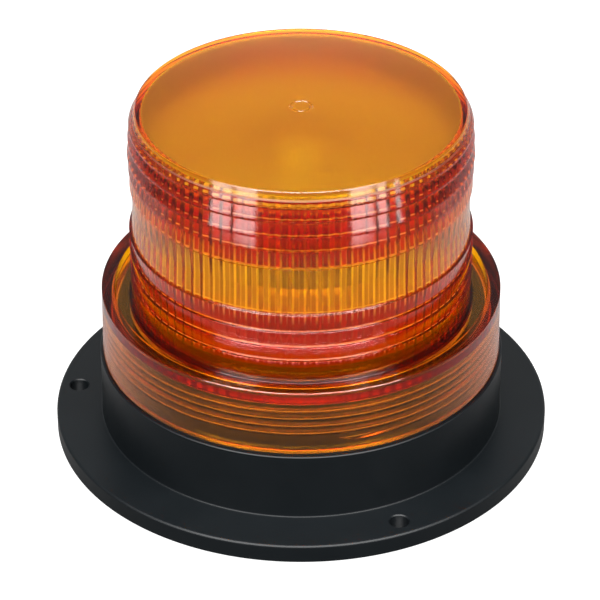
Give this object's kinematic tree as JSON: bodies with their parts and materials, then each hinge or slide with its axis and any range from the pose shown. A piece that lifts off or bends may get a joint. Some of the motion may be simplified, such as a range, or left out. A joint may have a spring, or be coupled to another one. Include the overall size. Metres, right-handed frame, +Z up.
{
  "type": "barricade warning light",
  "caption": "Amber warning beacon: a screw-on ribbed lens over a plug-in flash tube, on a round bolt-down base.",
  "frame": {"origin": "centre of the base's underside", "axes": "+Z up along the lens thread's axis, -Y is the front seen in the picture"},
  "size_m": [0.165, 0.165, 0.1191],
  "materials": {
    "amber_lens": "clear amber moulded polycarbonate, frosted under the flat top",
    "black_plastic": "fine-textured black moulding",
    "white_plastic": "white heat-resistant moulding",
    "black_rubber": "matt",
    "screw_steel": "zinc plated",
    "board_laminate": "green solder mask",
    "terminal_plastic": "moulded",
    "capacitor_sleeve": "shrink sleeve",
    "ferrite": "ground ferrite",
    "winding_tape": "polyester tape",
    "copper_wire": "enamelled copper windings",
    "fin_aluminium": "extruded",
    "chip_epoxy": "moulded epoxy",
    "film_capacitor_coat": "dipped",
    "resistor_coat": "lacquer",
    "nickel_plate": "nickel plated",
    "tube_glass": "clear borosilicate"
  },
  "bodies": {
    "base": {"base_housing": "black_plastic", "bottom_cover": "black_plastic", "cover_screw_1": "screw_steel", "cover_screw_2": "screw_steel", "cover_screw_3": "screw_steel", "foot_seal": "black_rubber", "cable_grommet": "black_rubber", "circuit_board": "board_laminate", "board_screw_1": "screw_steel", "board_screw_2": "screw_steel", "board_screw_3": "screw_steel", "terminal_block": "terminal_plastic", "terminal_screw_1": "screw_steel", "terminal_screw_2": "screw_steel", "storage_capacitor_1": "capacitor_sleeve", "storage_capacitor_2": "capacitor_sleeve", "transformer_core": "ferrite", "transformer_winding": "winding_tape", "trigger_coil": "copper_wire", "heat_sink": "fin_aluminium", "power_transistor": "chip_epoxy", "transistor_screw": "screw_steel", "filter_choke": "copper_wire", "timing_chip": "chip_epoxy", "film_capacitor_1": "film_capacitor_coat", "film_capacitor_2": "film_capacitor_coat", "resistor_1": "resistor_coat", "resistor_2": "resistor_coat", "resistor_3": "resistor_coat", "diode_1": "chip_epoxy", "diode_2": "chip_epoxy", "deck_plate": "white_plastic", "reflector_plate": "white_plastic", "deck_screw_1": "screw_steel", "deck_screw_2": "screw_steel", "deck_screw_3": "screw_steel", "tube_socket": "white_plastic", "socket_retainer": "screw_steel"},
    "seal": {"lens_seal": "black_rubber"},
    "lens": {"lens": "amber_lens"},
    "flash_tube": {"tube_plug": "white_plastic", "tube_pin_1": "nickel_plate", "tube_pin_2": "nickel_plate", "tube_pin_3": "nickel_plate", "glass_envelope": "tube_glass", "discharge_tube": "tube_glass", "electrode_left": "nickel_plate", "electrode_right": "nickel_plate"}
  },
  "joints": [
    {"name": "lens_lift", "type": "slide", "parent": "base", "child": "seal", "axis": [0, 0, 1], "range_m": [0, 0.01261]},
    {"name": "lens_turn", "type": "hinge", "parent": "seal", "child": "lens", "pos_m": [0, 0, 0.04], "axis": [0, 0, 1], "range_deg": [0, 1620]},
    {"name": "tube_pull", "type": "slide", "parent": "base", "child": "flash_tube", "axis": [0, 0, 1], "range_m": [0, 0.008]}
  ],
  "couplings": [
    {"joint": "lens_lift", "follows": "lens_turn", "m_per_rad": 0.00044563}
  ]
}
